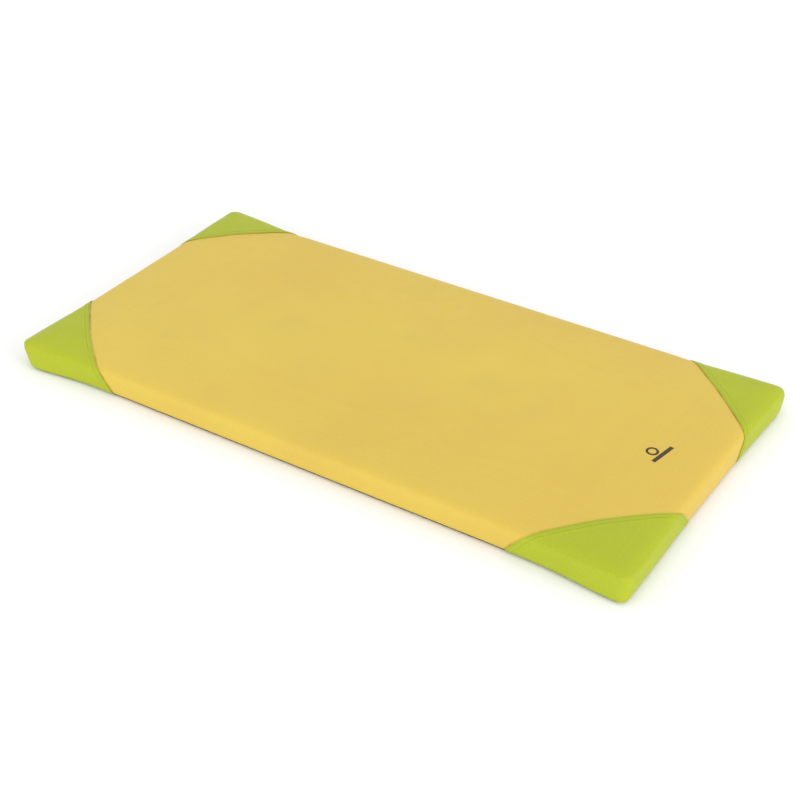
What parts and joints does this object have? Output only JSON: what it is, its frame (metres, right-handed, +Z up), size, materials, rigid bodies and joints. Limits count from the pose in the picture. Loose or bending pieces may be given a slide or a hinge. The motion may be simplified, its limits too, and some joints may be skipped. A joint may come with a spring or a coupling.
{
  "type": "gymnastics mat",
  "caption": "Flat rectangular foam gymnastics mat in a coated-fabric cover, with sewn corner caps, a non-slip base sheet and a zip along the rear long wall.",
  "frame": {"origin": "centre of the flat underside, on the floor that the mat lies on", "axes": "+X along the length towards the end with the printed mark, +Y towards the rear long wall with the zip, +Z up"},
  "size_m": [2, 1, 0.08],
  "materials": {
    "cover_fabric": "satin",
    "corner_fabric": "satin",
    "base_fabric": "matte",
    "firm_foam": "matte",
    "soft_foam": "matte",
    "cap_thread": "satin",
    "cover_thread": "satin",
    "zip_tape": "matte",
    "zip_teeth": "satin",
    "zip_metal": "satin",
    "label_fabric": "matte",
    "print_ink": "matte"
  },
  "bodies": {
    "mat": {"base_sheet": "base_fabric", "foam_base_layer": "firm_foam", "foam_top_layer": "soft_foam", "cover": "cover_fabric", "corner_cap_front_left": "corner_fabric", "corner_cap_front_right": "corner_fabric", "corner_cap_rear_left": "corner_fabric", "corner_cap_rear_right": "corner_fabric", "cap_stitches_front_left": "cap_thread", "cap_stitches_front_right": "cap_thread", "cap_stitches_rear_left": "cap_thread", "cap_stitches_rear_right": "cap_thread", "base_seam_thread": "cover_thread", "zip_tape_upper": "zip_tape", "zip_tape_lower": "zip_tape", "zip_teeth_upper": "zip_teeth", "zip_teeth_lower": "zip_teeth", "zip_stitches_upper": "cover_thread", "zip_stitches_lower": "cover_thread", "zip_top_stops": "zip_metal", "zip_bottom_stop": "zip_metal", "care_label": "label_fabric", "printed_mark": "print_ink"},
    "zip_slider": {"zip_slider": "zip_metal"},
    "zip_pull": {"zip_pull": "zip_metal"}
  },
  "joints": [
    {"name": "zip_slide", "type": "slide", "parent": "mat", "child": "zip_slider", "axis": [-1, 0, 0], "range_m": [0, 1.276]},
    {"name": "pull_flip", "type": "hinge", "parent": "zip_slider", "child": "zip_pull", "pos_m": [0.638, 0.49875, 0.04], "axis": [0, 0, -1], "range_deg": [0, 180]}
  ]
}
